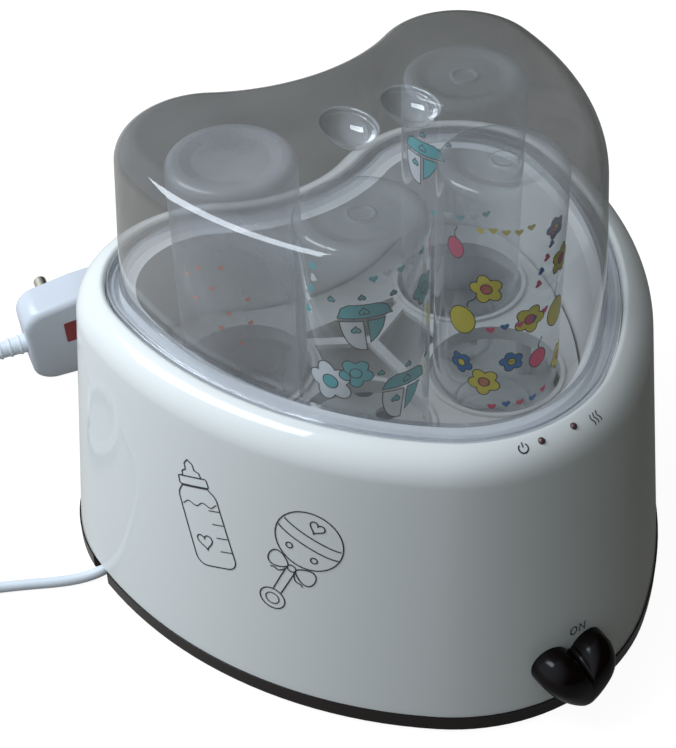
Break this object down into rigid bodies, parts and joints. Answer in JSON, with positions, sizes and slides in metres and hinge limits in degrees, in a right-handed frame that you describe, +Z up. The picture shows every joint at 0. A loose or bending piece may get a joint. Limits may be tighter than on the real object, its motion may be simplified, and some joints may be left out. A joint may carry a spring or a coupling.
{
  "type": "baby bottle sterilizer",
  "caption": "Heart-shaped electric steam sterilizer with a clear lid over upside-down feeding bottles on a lift-out rack, a heart push switch and a corded plug.",
  "frame": {"origin": "on the table under the middle of the housing, the free cord left out", "axes": "+Z up, -Y towards the nose of the heart with the switch, +X to the right seen from that side"},
  "size_m": [0.3826, 0.387, 0.226],
  "materials": {
    "ivory_plastic": "polished",
    "brown_plastic": "polished",
    "foot_rubber": "matt",
    "screw_steel": "satin",
    "white_plastic": "satin",
    "plate_steel": "brushed",
    "seal_rubber": "matt",
    "can_aluminium": "satin",
    "inner_plastic": "matt",
    "black_plastic": "matt",
    "wire_insulation": "satin",
    "board_green": "satin",
    "lamp_red": "polished",
    "led_clear": "polished",
    "lid_smoke": "polished",
    "bottle_clear": "polished",
    "cord_white": "satin",
    "plug_white": "satin",
    "tie_black": "satin",
    "flag_red": "polished",
    "pin_brass": "polished"
  },
  "bodies": {
    "base": {"base_shell": "ivory_plastic", "bottom_cover": "brown_plastic", "rubber_feet": "foot_rubber", "cover_screws": "screw_steel", "water_bowl": "white_plastic", "heating_plate": "plate_steel", "plate_seal": "seal_rubber", "clamp_ring": "plate_steel", "clamp_screws": "screw_steel", "heating_element": "plate_steel", "thermostat": "can_aluminium", "thermal_fuse": "inner_plastic", "terminal_block": "inner_plastic", "inner_lead": "cord_white", "heater_wires": "wire_insulation", "lamp_wires": "wire_insulation", "lamp_board": "board_green", "lamp_leds": "led_clear", "power_lamp_lens": "lamp_red", "steam_lamp_lens": "lamp_red", "switch_housing": "inner_plastic", "microswitch": "black_plastic", "button_spring": "screw_steel", "cord_gland": "cord_white", "cord_lead": "cord_white", "cord_coil": "cord_white", "coil_tie": "tie_black", "cord_tail": "cord_white", "plug_body": "plug_white", "plug_cover": "plug_white", "plug_fuse_flag": "flag_red", "plug_pins": "pin_brass", "plug_relief": "cord_white"},
    "lid": {"lid": "lid_smoke"},
    "rack": {"rack_plate": "white_plastic", "rack_deck": "white_plastic", "rack_posts": "white_plastic"},
    "button": {"heart_button": "brown_plastic", "button_stem": "inner_plastic"},
    "bottle_front_left": {"bottle_front_left": "bottle_clear"},
    "bottle_front_right": {"bottle_front_right": "bottle_clear"},
    "bottle_back_left": {"bottle_back_left": "bottle_clear"},
    "bottle_back_right": {"bottle_back_right": "bottle_clear"}
  },
  "joints": [
    {"name": "lid_lift", "type": "slide", "parent": "base", "child": "lid", "axis": [0, 0, 1], "range_m": [0, 0.3]},
    {"name": "rack_lift", "type": "slide", "parent": "base", "child": "rack", "axis": [0, 0, 1], "range_m": [0, 0.18]},
    {"name": "button_press", "type": "slide", "parent": "base", "child": "button", "axis": [0, 1, 0], "range_m": [0, 0.003], "stiffness_N_per_m": 400, "deforming": ["button_spring"]},
    {"name": "bottle_front_left_lift", "type": "slide", "parent": "rack", "child": "bottle_front_left", "axis": [0, 0, 1], "range_m": [0, 0.1]},
    {"name": "bottle_front_right_lift", "type": "slide", "parent": "rack", "child": "bottle_front_right", "axis": [0, 0, 1], "range_m": [0, 0.1]},
    {"name": "bottle_back_left_lift", "type": "slide", "parent": "rack", "child": "bottle_back_left", "axis": [0, 0, 1], "range_m": [0, 0.1]},
    {"name": "bottle_back_right_lift", "type": "slide", "parent": "rack", "child": "bottle_back_right", "axis": [0, 0, 1], "range_m": [0, 0.1]}
  ],
  "couplings": [
    {"joint": "rack_lift", "follows": "lid_lift", "ratio": 0.6},
    {"joint": "bottle_front_left_lift", "follows": "lid_lift", "ratio": 0.3333},
    {"joint": "bottle_front_right_lift", "follows": "lid_lift", "ratio": 0.3333},
    {"joint": "bottle_back_left_lift", "follows": "lid_lift", "ratio": 0.3333},
    {"joint": "bottle_back_right_lift", "follows": "lid_lift", "ratio": 0.3333}
  ]
}
